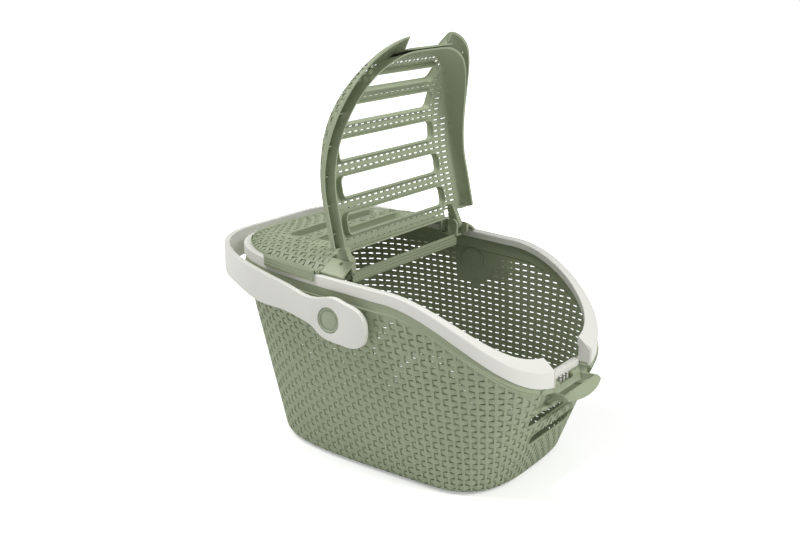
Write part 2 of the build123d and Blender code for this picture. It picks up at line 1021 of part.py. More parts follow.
with BuildPart() as pivot_stud_left:
    add(cross_rod(pivot_x, pivot_z, stud_radius, (handle_inner - seat_gap, cap_inner)))
    add(cross_rod(pivot_x, pivot_z, spigot_radius, (spigot_root + seat_gap, handle_inner)))
    add(
        cross_rod(
            pivot_x,
            pivot_z,
            cap_spigot + pin_clearance,
            (cap_inner - cap_spigot_length - seat_gap, handle_inner + far),
        ),
        mode=Mode.SUBTRACT,
    )
pivot_stud_left.part.label = "pivot_stud_left"
export_step(pivot_stud_left.part, "parts/pivot_stud_left.step")

with BuildPart() as pivot_stud_right:
    add(mirror(pivot_stud_left.part, about=Plane.XZ))
pivot_stud_right.part.label = "pivot_stud_right"
export_step(pivot_stud_right.part, "parts/pivot_stud_right.step")

with BuildPart() as pivot_cap_left:
    add(cross_rod(pivot_x, pivot_z, cap_radius, (cap_inner, cap_inner + cap_wall)))
    fillet(pivot_cap_left.edges().sort_by(Axis.Y)[-1], cap_edge)
    add(cross_rod(pivot_x, pivot_z, cap_spigot, (cap_inner - cap_spigot_length, cap_inner)))
pivot_cap_left.part.label = "pivot_cap_left"
export_step(pivot_cap_left.part, "parts/pivot_cap_left.step")

with BuildPart() as pivot_cap_right:
    add(mirror(pivot_cap_left.part, about=Plane.XZ))
pivot_cap_right.part.label = "pivot_cap_right"
export_step(pivot_cap_right.part, "parts/pivot_cap_right.step")

# Latch flap, lying open: two cheeks, a cross wall and a bowed lip that falls away from it

latch_end = latch_x + latch_reach
cheek_inner = housing_half_width + cheek_gap
cheek_outer = cheek_inner + cheek_wall

with BuildPart() as latch_flap:
    with BuildSketch(Plane.XY.offset(latch_bottom)):
        with BuildLine():
            Polyline(
                (latch_end, -latch_half_width),
                (latch_end, latch_half_width),
                (latch_x - cheek_radius, cheek_outer),
                (latch_x - cheek_radius, -cheek_outer),
                close=True,
            )
        make_face()
        with BuildLine():
            Polyline(
                (latch_end - latch_wall, cheek_wall - latch_half_width),
                (latch_end - latch_wall, latch_half_width - cheek_wall),
                (latch_x + cheek_radius, cheek_inner),
                (latch_x - 2 * cheek_radius, cheek_inner),
                (latch_x - 2 * cheek_radius, -cheek_inner),
                (latch_x + cheek_radius, -cheek_inner),
                close=True,
            )
        make_face(mode=Mode.SUBTRACT)
    extrude(amount=2 * (latch_top - latch_bottom))
    with BuildSketch(Plane.XZ):
        with Locations((latch_x, latch_z)):
            Circle(cheek_radius)
        with Locations((latch_end, (latch_top + latch_bottom) / 2)):
            Rectangle(2 * latch_wall, latch_top - latch_bottom)
        make_hull()
    extrude(amount=2 * latch_half_width, both=True, mode=Mode.INTERSECT)
    with BuildPart(mode=Mode.PRIVATE) as lip_strip:
        with BuildSketch(Plane.XZ):
            with BuildLine():
                Polyline(
                    (latch_end - latch_wall, latch_top),
                    (latch_end, latch_top),
                    (latch_end + lip_reach, latch_top - lip_fall),
                    (latch_end + lip_reach, latch_top - lip_fall - lip_wall),
                    (latch_end - latch_wall, latch_top - lip_wall),
                    close=True,
                )
            make_face()
        extrude(amount=latch_half_width, both=True)
        with BuildSketch(Plane.XY.offset(latch_bottom - lip_fall)):
            with BuildLine():
                bow = ThreePointArc(
                    (latch_end + lip_end_reach, -latch_half_width),
                    (latch_end + lip_reach, 0),
                    (latch_end + lip_end_reach, latch_half_width),
                )
                Polyline(
                    bow @ 1,
                    (latch_end - latch_wall, latch_half_width),
                    (latch_end - latch_wall, -latch_half_width),
                    bow @ 0,
                )
            make_face()
        extrude(amount=far, mode=Mode.INTERSECT)
    add(lip_strip.part)
    flap_bore = cross_rod(
        latch_x,
        latch_z,
        latch_pin_radius + pin_clearance,
        (housing_half_width, latch_half_width),
    )
    add(both_sides(flap_bore), mode=Mode.SUBTRACT)
latch_flap.part.label = "latch_flap"
export_step(latch_flap.part, "parts/latch_flap.step")

with BuildPart() as latch_pin_left:
    add(
        cross_rod(
            latch_x,
            latch_z,
            latch_pin_radius,
            (housing_half_width - latch_pin_hold, housing_half_width + cheek_gap + cheek_wall),
        )
    )
    chamfer(latch_pin_left.edges(), pin_chamfer)
latch_pin_left.part.label = "latch_pin_left"
export_step(latch_pin_left.part, "parts/latch_pin_left.step")

with BuildPart() as latch_pin_right:
    add(mirror(latch_pin_left.part, about=Plane.XZ))
latch_pin_right.part.label = "latch_pin_right"
export_step(latch_pin_right.part, "parts/latch_pin_right.step")
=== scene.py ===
import math

import bmesh
import bpy
import numpy as np
from mathutils import Matrix, Vector


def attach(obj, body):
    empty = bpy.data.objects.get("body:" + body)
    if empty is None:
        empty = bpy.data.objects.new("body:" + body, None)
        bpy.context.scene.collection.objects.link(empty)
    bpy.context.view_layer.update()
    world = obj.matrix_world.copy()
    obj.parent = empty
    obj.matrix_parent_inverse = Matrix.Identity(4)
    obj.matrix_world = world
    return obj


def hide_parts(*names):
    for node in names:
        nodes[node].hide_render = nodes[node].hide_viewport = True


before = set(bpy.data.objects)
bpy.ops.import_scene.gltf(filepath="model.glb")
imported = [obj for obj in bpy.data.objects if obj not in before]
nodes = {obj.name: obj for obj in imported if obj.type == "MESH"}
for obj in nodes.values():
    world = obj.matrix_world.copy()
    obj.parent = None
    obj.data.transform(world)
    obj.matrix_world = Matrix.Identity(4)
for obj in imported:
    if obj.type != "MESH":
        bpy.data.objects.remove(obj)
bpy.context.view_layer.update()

MM = 0.001

# Plans of the foot, the mouth and the rim in millimetres, as in the solids
FOOT = dict(
    half_width=134.3, rear=195.1, front=195.6, waist=88.4, rear_power=3.94, front_power=3.21
)
MOUTH = dict(
    half_width=182.2, rear=260.8, front=315.6, waist=31.9, rear_power=3.46, front_power=2.86
)
RIM = dict(
    half_width=175.0, rear=254.3, front=254.3, waist=13.4, rear_power=3.41, front_power=3.08
)
RIM_INNER = dict(
    half_width=162.0, rear=241.3, front=234.3, waist=13.4, rear_power=3.41, front_power=3.08
)
MOUTH_LEVEL = 300.0

# Line of the rim: it falls slowly to SWEEP_START, then in an S to the front
RIM_REAR_LEVEL = 297.6
RIM_SLOPE = 0.052
SWEEP_START = 55.3
SWEEP_REACH = 199.0
SWEEP_LENGTH = 582.1
SWEEP_FALL = 393.0
BORDER_REAR = 30.0
BORDER_FALL = 9.0

# Axes of the handle and the door, as (x, z), and the angle by which the door stands open
PIVOT = (-14.0, 234.0)
HINGE = (-25.6, 299.8)
OPEN = math.radians(105)


def plan_at(z):
    """Plan of the flared wall at a level."""
    k = z / MOUTH_LEVEL
    return {key: FOOT[key] + (MOUTH[key] - FOOT[key]) * k for key in FOOT}


def plan_point(plan, phi, inset=0.0):
    """Point of a plan at an angle parameter; works on arrays."""
    c, s = np.cos(phi), np.sin(phi)
    front = c > 0
    run = np.where(front, plan["front"] - plan["waist"], plan["waist"] + plan["rear"]) - inset
    power = np.where(front, plan["front_power"], plan["rear_power"])
    x = plan["waist"] + np.sign(c) * run * np.abs(c) ** (2 / power)
    y = (plan["half_width"] - inset) * np.sign(s) * np.abs(s) ** (2 / power)
    return x, y


def plan_width(plan, x, inset=0.0):
    """Half width of a plan at a place along it."""
    x = np.asarray(x, float)
    front = x > plan["waist"]
    run = np.where(front, plan["front"] - plan["waist"], plan["waist"] + plan["rear"]) - inset
    power = np.where(front, plan["front_power"], plan["rear_power"])
    reach = np.clip(np.abs(x - plan["waist"]) / run, 0, 1)
    return (plan["half_width"] - inset) * (1 - reach**power) ** (1 / power)


def wall_x(y, z):
    """Outer face of the flared front wall at a side and a level."""
    p = plan_at(z)
    run = p["front"] - p["waist"]
    k = np.clip(np.abs(y) / p["half_width"], 0, 1)
    return p["waist"] + run * (1 - k ** p["front_power"]) ** (1 / p["front_power"])


def rim_z(x):
    """Level of the rim line."""
    x = np.asarray(x, float)
    level = RIM_REAR_LEVEL - RIM_SLOPE * (np.minimum(x, SWEEP_START) + RIM["rear"])
    k = np.maximum(x - SWEEP_START, 0) / SWEEP_LENGTH
    return level - SWEEP_FALL * k * k * (3 - 2 * k)


def rim_lean(x):
    """Vertical distance for one millimetre square to the rim line."""
    slope = (rim_z(np.asarray(x) + 1.0) - rim_z(np.asarray(x) - 1.0)) / 2
    return np.sqrt(1 + slope * slope)


def border_drop(x):
    """Depth of the smooth border below the rim line."""
    return BORDER_REAR - BORDER_FALL * np.clip((np.asarray(x) - SWEEP_START) / SWEEP_REACH, 0, 1)


# Meshes and objects


def link(name, data):
    ob = bpy.data.objects.new(name, data)
    bpy.context.scene.collection.objects.link(ob)
    return ob


def shade(me, sharp):
    """Smooth faces, with the edges past an angle sharp."""
    me.polygons.foreach_set("use_smooth", [True] * len(me.polygons))
    me.set_sharp_from_angle(angle=math.radians(sharp))


def new_mesh(name, verts, faces):
    me = bpy.data.meshes.new(name)
    me.from_pydata([tuple(v) for v in np.asarray(verts) * MM], [], faces)
    return me


def face_outwards(me):
    bm = bmesh.new()
    bm.from_mesh(me)
    bmesh.ops.recalc_face_normals(bm, faces=bm.faces)
    bm.to_mesh(me)
    bm.free()


def new_object(name, part, material, body, sharp=35.0):
    """A visible piece on a body, from its points and faces."""
    me = new_mesh(name, *part)
    me.validate()
    face_outwards(me)
    shade(me, sharp)
    ob = link(name, me)
    me.materials.append(material)
    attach(ob, body)
    return ob


def apply_modifiers(ob):
    graph = bpy.context.evaluated_depsgraph_get()
    me = bpy.data.meshes.new_from_object(ob.evaluated_get(graph))
    old = ob.data
    ob.modifiers.clear()
    ob.data = me
    bpy.data.meshes.remove(old)


def bevelled(ob, width, segments=2, angle=40, sharp=50):
    m = ob.modifiers.new("round", "BEVEL")
    m.width = width * MM
    m.segments = segments
    m.limit_method = "ANGLE"
    m.angle_limit = math.radians(angle)
    apply_modifiers(ob)
    shade(ob.data, sharp)


BOX_FACES = [(0, 3, 2, 1), (4, 5, 6, 7), (0, 1, 5, 4), (1, 2, 6, 5), (2, 3, 7, 6), (3, 0, 4, 7)]


def box(low, high):
    x0, y0, z0 = low
    x1, y1, z1 = high
    verts = [(x, y, z) for z in (z0, z1) for x, y in ((x0, y0), (x1, y0), (x1, y1), (x0, y1))]
    return verts, BOX_FACES


def join(parts):
    verts, faces = [], []
    for part_verts, part_faces in parts:
        n = len(verts)
        verts += [tuple(p) for p in part_verts]
        faces += [tuple(i + n for i in face) for face in part_faces]
    return verts, faces


def mirrored(part):
    verts, faces = part
    return [(x, -y, z) for x, y, z in verts], [tuple(reversed(face)) for face in faces]


def skin(rows, closed=False):
    """Faces between copies of a closed section, given as rows of points; open runs are capped."""
    rows = [list(map(tuple, row)) for row in rows]
    k = len(rows[0])
    n = len(rows)
    verts = [p for row in rows for p in row]
    faces = []
    for i in range(n if closed else n - 1):
        j = (i + 1) % n
        for a in range(k):
            b = (a + 1) % k
            faces.append((i * k + a, i * k + b, j * k + b, j * k + a))
    if not closed:
        faces.append(tuple(range(k)))
        faces.append(tuple((n - 1) * k + a for a in reversed(range(k))))
    return verts, faces


def even_params(plan, count):
    """Angle parameters at equal lengths round a plan's outline, its first point again as its last."""
    phi = np.linspace(0, 2 * math.pi, 4001)
    x, y = plan_point(plan, phi)
    run = np.concatenate([[0], np.cumsum(np.hypot(np.diff(x), np.diff(y)))])
    return np.interp(np.linspace(0, run[-1], count + 1), run, phi)


def rounded_rect(half_wide, half_high, radius, steps=4, centre=(0, 0)):
    """Outline with round corners, counter-clockwise."""
    points = []
    for qx, qy, start in ((1, 1, 0), (-1, 1, 90), (-1, -1, 180), (1, -1, 270)):
        for k in range(steps + 1):
            a = math.radians(start + 90 * k / steps)
            points.append((
                centre[0] + qx * (half_wide - radius) + radius * math.cos(a),
                centre[1] + qy * (half_high - radius) + radius * math.sin(a),
            ))
    return points


# Materials


def add_node(tree, kind, values=()):
    """New shader node, with the values of some of its inputs."""
    made = tree.nodes.new(kind)
    for socket, value in values:
        made.inputs[socket].default_value = value
    return made


def connect(tree, links):
    for source, output, target, socket in links:
        tree.links.new(source.outputs[output], target.inputs[socket])


def empty_tree(owner):
    owner.use_nodes = True
    owner.node_tree.nodes.clear()
    return owner.node_tree


def plastic(name, colour, rough, tint=0.06):
    """Moulded plastic: broad, faint changes of tone and gloss, and a fine grain."""
    mat = bpy.data.materials.new(name)
    tree = empty_tree(mat)
    dark = (*[c * (1 - tint) for c in colour], 1)
    light = (*[min(c * (1 + tint), 1) for c in colour], 1)
    out = add_node(tree, "ShaderNodeOutputMaterial")
    bsdf = add_node(tree, "ShaderNodeBsdfPrincipled", [("Specular IOR Level", 0.42)])
    place = add_node(tree, "ShaderNodeTexCoord")
    broad = add_node(tree, "ShaderNodeTexNoise", [("Scale", 9.0), ("Detail", 3.0)])
    fine = add_node(tree, "ShaderNodeTexNoise", [("Scale", 900.0), ("Detail", 2.0)])
    tone = add_node(tree, "ShaderNodeMixRGB", [("Color1", dark), ("Color2", light)])
    gloss = add_node(tree, "ShaderNodeMapRange", [
        ("From Min", 0.35), ("From Max", 0.65), ("To Min", rough - 0.06), ("To Max", rough + 0.06),
    ])
    grain = add_node(tree, "ShaderNodeBump", [("Strength", 0.12), ("Distance", 0.0002)])
    connect(tree, [
        (place, "Object", broad, "Vector"),
        (place, "Object", fine, "Vector"),
        (broad, "Fac", tone, "Fac"),
        (tone, "Color", bsdf, "Base Color"),
        (broad, "Fac", gloss, "Value"),
        (gloss, "Result", bsdf, "Roughness"),
        (fine, "Fac", grain, "Height"),
        (grain, "Normal", bsdf, "Normal"),
        (bsdf, "BSDF", out, "Surface"),
    ])
    return mat


SAGE = plastic("sage_plastic_look", (0.315, 0.360, 0.238), rough=0.52)
WHITE = plastic("white_plastic_look", (0.715, 0.712, 0.665), rough=0.42, tint=0.015)
CAP = plastic("cap_plastic_look", (0.335, 0.380, 0.265), rough=0.45)

# Weave of the tub: its ribs stand upright, and each strand passes under one rib and over the next.
# A cell is one column wide and one row high. CELL_U places the two flanks of the gap between two
# ribs, and the rib fills the rest. CELL_V places the edges of the slot between two strands, and
# beside them the lines where the strands begin to round off.
ROW_PITCH = 8.65
RELIEF = 1.6
CROWN = 0.55
RIB_CROWN = 0.4
TILT = 0.35
SLOT_SHARE_UP = 0.095
CELL_U = (0.0, 0.03, 0.62, 0.65)
CELL_V = (-0.30, -SLOT_SHARE_UP, SLOT_SHARE_UP, 0.30)


def weave_sheet(columns, rows, place, hole_ok, woven):
    """Flat sheet with slots, and the shift that turns its outside into strands and ribs."""
    nu, nv = columns * len(CELL_U), rows * len(CELL_V) + 1
    iu, iv = np.arange(nu), np.arange(nv)
    u = iu // len(CELL_U) + np.array(CELL_U)[iu % len(CELL_U)]
    v = iv // len(CELL_V) + np.array(CELL_V)[iv % len(CELL_V)]
    strand = np.where(iv % len(CELL_V) < 2, iv // len(CELL_V) - 1, iv // len(CELL_V))
    edge = np.isin(iv % len(CELL_V), (1, 2)).astype(float)
    U, V = np.meshgrid(u, v, indexing="ij")
    column, strand = np.meshgrid(iu // len(CELL_U), strand, indexing="ij")
    line, edge = np.meshgrid(iu % len(CELL_U), edge, indexing="ij")
    gap = (line == 1) | (line == 2)
    low = gap & (((column + strand) % 2 == 0) == (line == 1))
    side = np.where(line == 1, TILT, -TILT) * np.where((column + np.round(V)) % 2 == 0, 1, -1)
    tilt = np.where(gap & (edge > 0), side, 0)
    base = np.stack(place(U, V), axis=-1)
    step = 0.02
    du = np.stack(place(U + step, V), axis=-1) - np.stack(place(U - step, V), axis=-1)
    dv = np.stack(place(U, V + step), axis=-1) - np.stack(place(U, V - step), axis=-1)
    n = np.cross(du, dv)
    size = np.linalg.norm(n, axis=-1, keepdims=True)
    n = np.where(size > 1e-6, n / np.maximum(size, 1e-6), 0.0)
    lift = -(low * RELIEF + edge * np.where(gap, CROWN, RIB_CROWN * CROWN)) * woven(base)
    along = dv / np.maximum(np.linalg.norm(dv, axis=-1, keepdims=True), 1e-6)
    shift = n * lift[..., None] + along * (tilt * woven(base))[..., None]
    index = np.arange(nu * nv).reshape(nu, nv)
    faces = []
    for i in range(nu):
        k = (i + 1) % nu
        for j in range(nv - 1):
            in_slot = i % len(CELL_U) == 1 and j % len(CELL_V) == 1
            if in_slot and hole_ok(i // len(CELL_U), j // len(CELL_V)):
                continue
            faces.append((index[i, j], index[k, j], index[k, j + 1], index[i, j + 1]))
    return base.reshape(-1, 3), faces, shift.reshape(-1, 3), index[:, 0]


# Tub: the woven wall, its round foot and its floor
COLUMNS = 112
ROWS = 35
FIRST_ROW = 6.7
PHASE = 0.54
WARP = 5.0
WARP_LEVEL = 150.0
FILLET = 13.0
ARC = FILLET * math.pi / 2
LEVEL_STEP = 8.0
LEVELS = 45
SHARES = COLUMNS * 24
SLOT_MIDDLE = 0.29
SLOT_FREE = 5.5
TUB_WALL = 2.4
FLOOR_MIDDLE = (60.0, 0.0, 0.0)
WELD = 0.03
BORDER_LAP = 0.5
FADE_START = 0.6
FADE_RUN = 1.5

# Range of levels in which the wall meets the border, and how often it is halved
TOP_LOWEST = 90.0
TOP_HIGHEST = 320.0
TOP_HALVINGS = 24

# Smooth patch round each handle pivot: its middle as (x, z), its reach and its nearest side
PATCH = (-8.0, 236.0)
PATCH_REACH = 36.0
PATCH_SIDE = 120.0
PATCH_CLEAR = 2.5

# Vents as (level, half width), and the pocket of the latch
VENTS = ((110.5, 81), (74.5, 62))
VENT_HALF = 10.0
VENT_RADIUS = 9.0
POCKET_HALF = 78.0
POCKET_HALF_HEIGHT = 24.0
POCKET_LEVEL = 151.0
FRONT_X = 190.0
CUT_BESIDE = 25.0
CUT_ABOVE = 20.0


def outline_table(inset):
    """Outlines of the flared wall, level by level, at equal shares of their length."""
    table = []
    for z in np.arange(0, LEVELS) * LEVEL_STEP:
        plan = plan_at(z)
        x, y = plan_point(plan, even_params(plan, SHARES), inset)
        table.append(np.stack([x, y], axis=-1))
    return np.array(table)


OUTLINES = outline_table(0.0), outline_table(FILLET)


def tub_profile(s):
    """Height and inset of the wall along its section, from the floor up."""
    a = np.clip(s, 0, ARC) / FILLET
    z = np.where(s < ARC, FILLET * (1 - np.cos(a)), FILLET + s - ARC)
    inset = np.where(s < ARC, FILLET * (1 - np.sin(a)), 0)
    return z, inset


def tub_xy(u, z, inset):
    """Point of the wall at a column position and a level."""
    share = (np.asarray(u, float) + PHASE) / COLUMNS % 1.0
    away = np.minimum(share, 1 - share) * 2
    rise = 1 - np.asarray(z, float) / WARP_LEVEL
    swing = WARP / COLUMNS * np.sin(math.pi * away) * (1 - away) * rise
    share = (share - np.sign(0.5 - share) * swing) % 1.0 * SHARES
    level = np.clip(np.asarray(z, float) / LEVEL_STEP, 0, LEVELS - 1.001)
    i, k = share.astype(int), level.astype(int)
    a, b = (share - i)[..., None], (level - k)[..., None]
    place = 0
    for table, part in zip(OUTLINES, (1 - inset / FILLET, inset / FILLET)):
        low = table[k, i] * (1 - a) + table[k, i + 1] * a
        high = table[k + 1, i] * (1 - a) + table[k + 1, i + 1] * a
        place = place + (low * (1 - b) + high * b) * np.asarray(part)[..., None]
    return place[..., 0], place[..., 1]


def border_z(x):
    """Level of the border's lower edge."""
    return rim_z(x) - border_drop(x) * rim_lean(x)


def top_z(u, inset):
    """Level at which the flared wall meets the border line."""
    low, high = np.full(np.shape(u), TOP_LOWEST), np.full(np.shape(u), TOP_HIGHEST)
    for _ in range(TOP_HALVINGS):
        middle = (low + high) / 2
        above = border_z(tub_xy(u, middle, inset)[0]) + BORDER_LAP < middle
        high = np.where(above, middle, high)
        low = np.where(above, low, middle)
    return low


def tub_place(u, v):
    """Point of the plain wall at a column and a row; rows past the border stay on its line."""
    z, inset = tub_profile(np.clip(v * ROW_PITCH + FIRST_ROW, 0, None))
    z = np.minimum(z, top_z(u, inset))
    x, y = tub_xy(u, z, inset)
    return x, y, z


def plain_patch(x, y, z, grow):
    """Whether a place is in the smooth patch round a handle pivot, open to the border above."""
    px, pz = x - PATCH[0], z - PATCH[1]
    reach = PATCH_REACH + grow
    return (np.abs(y) > PATCH_SIDE) & (((pz > 0) & (np.abs(px) < reach)) | (np.hypot(px, pz) < reach))


def tub_hole(column, row):
    """Whether a cell has a slot."""
    x, y, z = tub_place(np.array(column + SLOT_MIDDLE), np.array(float(row)))
    s = row * ROW_PITCH + FIRST_ROW
    free_z = FILLET + s - ARC if s > ARC else 0
    below_border = free_z + SLOT_FREE < border_z(x)
    return bool(below_border and row >= 1 and not plain_patch(x, y, z, PATCH_CLEAR))


def tub_woven(base):
    """Share of the weave's relief: none in the smooth patches and under the border."""
    x, y, z = base[..., 0], base[..., 1], base[..., 2]
    under = np.clip((border_z(x) - z - FADE_START) / FADE_RUN, 0, 1)
    return np.where(plain_patch(x, y, z, 0), 0.0, 1.0) * under


def cut_front(bm, outline, low, high, half):
    """Cut a convex outline, drawn as (y, z), out of the front wall."""
    group = []
    for f in bm.faces:
        c = f.calc_center_median() / MM
        near = abs(c.y) < half + CUT_BESIDE and low - CUT_ABOVE < c.z < high + CUT_ABOVE
        if c.x > FRONT_X and near:
            group.append(f)
    for k, (y, z) in enumerate(outline):
        y_next, z_next = outline[(k + 1) % len(outline)]
        if math.hypot(y_next - y, z_next - z) < 1e-6:
            continue
        co = Vector((0, y, z)) * MM
        no = Vector((0, z_next - z, y - y_next))
        edges = list({e for f in group for e in f.edges})
        verts = list({v for f in group for v in f.verts})
        got = bmesh.ops.bisect_plane(bm, geom=edges + verts + group, dist=1e-7, plane_co=co, plane_no=no)
        found = [f for f in got["geom"] if isinstance(f, bmesh.types.BMFace) and f.is_valid]
        group = [f for f in found if (f.calc_center_median() - co).dot(no) < 0]
    bmesh.ops.delete(bm, geom=group, context="FACES")


def make_tub():
    """The woven sheet, thickened inwards; only then is its outside shifted into strands and ribs."""
    points, faces, shift, ring = weave_sheet(COLUMNS, ROWS, tub_place, tub_hole, tub_woven)
    middle = len(points)
    points = np.vstack([points, [FLOOR_MIDDLE]])
    shift = np.vstack([shift, [(0.0, 0.0, 0.0)]])
    for k in range(len(ring)):
        faces.append((ring[(k + 1) % len(ring)], ring[k], middle))
    me = new_mesh("tub_weave", points, [tuple(int(i) for i in f) for f in faces])
    bm = bmesh.new()
    bm.from_mesh(me)
    shift_layer = bm.verts.layers.float_vector.new("shift")
    for vert, d in zip(bm.verts, shift):
        vert[shift_layer] = d
    pocket = rounded_rect(POCKET_HALF, POCKET_HALF_HEIGHT, 2, 1, (0, POCKET_LEVEL))
    low, high = POCKET_LEVEL - POCKET_HALF_HEIGHT, POCKET_LEVEL + POCKET_HALF_HEIGHT
    cut_front(bm, pocket, low, high, POCKET_HALF)
    for level, half in VENTS:
        outline = rounded_rect(half, VENT_HALF, VENT_RADIUS, 4, (0, level))
        cut_front(bm, outline, level - VENT_HALF, level + VENT_HALF, half)
    bmesh.ops.remove_doubles(bm, verts=bm.verts, dist=WELD * MM)
    bmesh.ops.delete(bm, geom=[v for v in bm.verts if not v.link_faces], context="VERTS")
    outer = len(bm.verts)
    bm.verts.index_update()
    shifts = np.array([v[shift_layer][:] for v in bm.verts])
    bm.to_mesh(me)
    bm.free()
    tub = link("tub_weave", me)
    me.materials.append(SAGE)
    m = tub.modifiers.new("wall", "SOLIDIFY")
    m.thickness = TUB_WALL * MM
    m.offset = -1
    apply_modifiers(tub)
    me = tub.data
    flat = np.empty(len(me.vertices) * 3)
    me.vertices.foreach_get("co", flat)
    flat = flat.reshape(-1, 3)
    flat[:outer] += shifts * MM
    flat[:, 2] = np.maximum(flat[:, 2], 0.0)
    me.vertices.foreach_set("co", flat.reshape(-1))
    me.update()
    shade(me, 34)
    return tub


tub_weave = make_tub()
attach(tub_weave, "base")
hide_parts("tub")

# Border above the weave and rim band, open at the front where the latch's strip lies
NOTCH_CLEAR = 51.5
RING_STEPS = 300
SKIRT_REAR = 15.5
SKIRT_GAIN = 1.0


def ring_rows(profile):
    """Rows of points round the mouth, from the plan, inset and drop of each corner of a section."""
    rows = []
    for phi in even_params(RIM, RING_STEPS)[:-1]:
        if abs(float(plan_point(RIM, phi)[1])) < NOTCH_CLEAR and math.cos(phi) > 0:
            continue
        row = []
        for plan, inset, drop in profile:
            x, y = (float(v) for v in plan_point(plan, phi, inset))
            fall = drop(x) if callable(drop) else drop
            row.append((x, y, float(rim_z(x)) - fall * float(rim_lean(x))))
        rows.append(row)
    return rows


def bead(extra):
    """Drop to a place on the round bead along the border's lower edge."""
    return lambda x: float(border_drop(x)) + extra


def skirt(x):
    """Drop of the rim band's lower edge."""
    return SKIRT_REAR + SKIRT_GAIN * max(0, (x - SWEEP_START) / SWEEP_REACH)


BORDER_SECTION = [
    (RIM, 1.2, 12.0), (RIM, 1.2, bead(-2.4)), (RIM, 0.4, bead(-1.6)), (RIM, 0.1, bead(-0.6)),
    (RIM, 0.4, bead(0.6)), (RIM, 1.4, bead(1.0)), (RIM, 4.4, bead(1.6)), (RIM, 5.0, bead(1.0)),
    (RIM, 5.0, 12.0),
]
RIM_SECTION = [
    (RIM, 2.3, skirt), (RIM, 0.7, skirt), (RIM, 0.0, lambda x: skirt(x) - 0.9), (RIM, 0.0, 1.6),
    (RIM, 0.3, 0.75), (RIM, 0.9, 0.15), (RIM, 1.6, 0.0), (RIM_INNER, -2.2, 0.75),
    (RIM_INNER, -0.7, 1.2), (RIM_INNER, 0.0, 2.2), (RIM_INNER, 0.0, 10.2), (RIM_INNER, -0.5, 11.0),
    (RIM_INNER, -2.3, 11.0), (RIM_INNER, -2.3, 2.8), (RIM, 2.6, 2.6),
]
new_object("tub_border", skin(ring_rows(BORDER_SECTION)), SAGE, "base")
rim_part = skin(ring_rows(RIM_SECTION))
rim = new_object("rim_shell", rim_part, WHITE, "base", sharp=24)
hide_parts("rim_band")

# Lowered strip of the rim at the latch, with three teeth and three small tabs
RIM_WALL = 2.3
STRIP_HALF = 52.0
STRIP_REAR = 225.0
STRIP_FRONT = 236.0
STRIP_BOTTOM = 151.5
STRIP_TOP = 160.0
STRIP_INSIDE = 158.0
TOOTH_HALF = 1.75
TOOTH_YS = (-9.5, 0.0, 9.5)
TOOTH_ROOT = 235.5
TOOTH_REAR = 237.0
TOOTH_FRONT = 239.9
TOOTH_BOTTOM = 145.0
TOOTH_TOP = 154.0
TOOTH_BRIDGE_TOP = 154.5
TAB_HALF = 1.6
TAB_YS = (-33, -8, 24)
TAB_REAR = 229.5
TAB_FRONT = 233.0
TAB_BOTTOM = 159.5
TAB_TOP = 161.3


def make_strip():
    parts = [
        box((STRIP_REAR, -STRIP_HALF, STRIP_TOP - RIM_WALL), (STRIP_FRONT, STRIP_HALF, STRIP_TOP)),
        box((STRIP_FRONT - RIM_WALL, -STRIP_HALF, STRIP_BOTTOM), (STRIP_FRONT, STRIP_HALF, STRIP_INSIDE)),
        box((STRIP_REAR, -STRIP_HALF, STRIP_BOTTOM), (STRIP_REAR + RIM_WALL, STRIP_HALF, STRIP_INSIDE)),
    ]
    for y in TOOTH_YS:
        left, right = y - TOOTH_HALF, y + TOOTH_HALF
        parts.append(box((TOOTH_ROOT, left, STRIP_BOTTOM), (TOOTH_FRONT, right, TOOTH_BRIDGE_TOP)))
        parts.append(box((TOOTH_REAR, left, TOOTH_BOTTOM), (TOOTH_FRONT, right, TOOTH_TOP)))
    for y in TAB_YS:
        parts.append(box((TAB_REAR, y - TAB_HALF, TAB_BOTTOM), (TAB_FRONT, y + TAB_HALF, TAB_TOP)))
    bevelled(new_object("rim_strip", join(parts), WHITE, "base"), 0.5)


make_strip()

# Walls that close the rim band's ends, on each side of the strip. Their upper edge is given as
# (x, drop below the rim line), after a first point and a step back at the rim's own front.
END_SIDES = (50.3, 52.3)
END_PLACE = 50.5
END_BACK = 0.5
END_FOOT = 154.0
END_STEP = (234.4, 162.0)
END_FIRST_DROP = 2.2
END_ROUND = 3.0
END_DROP = 0.8
END_EDGE = ((243.0, END_DROP), (238.0, END_DROP), (235.0, 1.6), (234.4, 1.6))


def make_notch_ends():
    phi = math.asin((END_PLACE / RIM["half_width"]) ** (RIM["front_power"] / 2))
    front = float(plan_point(RIM, phi)[0]) - END_BACK
    profile = [(STRIP_REAR, STRIP_BOTTOM), (front, END_FOOT)]
    edge = ((front, END_FIRST_DROP), (front - END_ROUND, END_DROP), *END_EDGE)
    profile += [(x, float(rim_z(x)) - drop) for x, drop in edge]
    profile += [END_STEP, (STRIP_REAR, STRIP_TOP)]
    end = skin([[(x, y, z) for x, z in profile] for y in END_SIDES])
    new_object("rim_notch_ends", join([end, mirrored(end)]), WHITE, "base")


make_notch_ends()

# Pocket of the latch: floor, back, sides and the two stretches of roof beside the notch
POCKET_REAR = 234.0
POCKET_FLOOR = 124.5
POCKET_TOP = 157.5
POCKET_PLATE = 2.5
POCKET_ROOF_FRONT = 249.0
POCKET_ROOF_SIDES = (50.0, 79.0)
POCKET_FLOOR_SIDE = 79.0
POCKET_FLOOR_STEPS = 33
POCKET_BACK_SIDE = 80.0
POCKET_BACK_TOP = 151.3
POCKET_POST_BOTTOM = 151.0
POCKET_SIDE = (78.0, 80.3)
POCKET_SIDE_REAR = 232.5
POCKET_SIDE_LEVELS = (125.0, 156.0)
POCKET_SIDE_STEPS = 9
BEHIND_FLOOR = 0.6
BEHIND_SIDE = 0.4
SIDE_SLANT = 1.5


